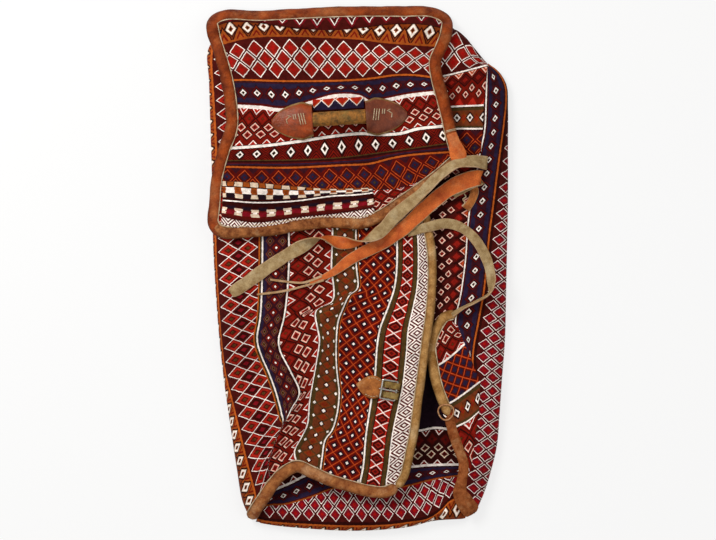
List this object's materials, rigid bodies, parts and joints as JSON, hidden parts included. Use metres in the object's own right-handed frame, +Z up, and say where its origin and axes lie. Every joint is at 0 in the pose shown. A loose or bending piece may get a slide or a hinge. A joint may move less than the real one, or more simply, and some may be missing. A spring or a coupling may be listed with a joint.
{
  "type": "mafrash bedding bag",
  "caption": "Open-topped woven bedding bag lying folded flat, with leather-bound seams, a carrying handle, leather straps and a hinged buckle; it holds and carries bedding.",
  "frame": {"origin": "on the floor under the middle of the folded bag's outline", "axes": "+Z up, +Y along the bag towards the end with the handle, +X to the right seen from above"},
  "size_m": [0.6035, 1.0378, 0.1045],
  "materials": {
    "wool_panels": "warp-faced woven wool with narrow patterned stripes",
    "wool_base": "plain woven wool",
    "wool_strip": "narrow woven wool band",
    "binding_leather": "rolled and stitched leather, worn",
    "strap_leather": "vegetable-tanned leather, orange grain side",
    "suede": "grey-beige flesh side of the leather",
    "grip_leather": "handled brown leather over stuffing",
    "pad_leather": "moulded orange-brown leather",
    "tab_leather": "tan leather",
    "buckle_steel": "plain bent steel"
  },
  "bodies": {
    "bag": {"base_panel": "wool_base", "left_wall": "wool_panels", "right_wall": "wool_panels", "upper_end_panel": "wool_panels", "lower_end_panel": "wool_panels", "upper_seam_binding": "binding_leather", "upper_rim_binding": "binding_leather", "left_rim_binding": "binding_leather", "lower_left_seam_binding": "binding_leather", "right_rim_binding": "binding_leather", "lower_right_seam_binding": "binding_leather", "lower_rim_binding": "binding_leather", "handle_grip": "grip_leather", "handle_left_pad": "pad_leather", "handle_right_pad": "pad_leather", "handle_strip": "wool_strip", "upper_strap": "suede", "strap_tab": "tab_leather", "lower_strap": "strap_leather", "right_strap": "suede", "thong_ring": "suede", "buckle_tab": "tab_leather"},
    "frame": {"buckle_frame": "buckle_steel"},
    "prong": {"buckle_prong": "buckle_steel"}
  },
  "joints": [
    {"name": "frame_hinge", "type": "hinge", "parent": "bag", "child": "frame", "pos_m": [0.07706, -0.24812, 0.05633], "axis": [0.1736, 0.9848, 0], "range_deg": [0, 100]},
    {"name": "prong_hinge", "type": "hinge", "parent": "frame", "child": "prong", "pos_m": [0.07706, -0.24812, 0.05633], "axis": [0.1736, 0.9848, 0], "range_deg": [0, 70]}
  ]
}
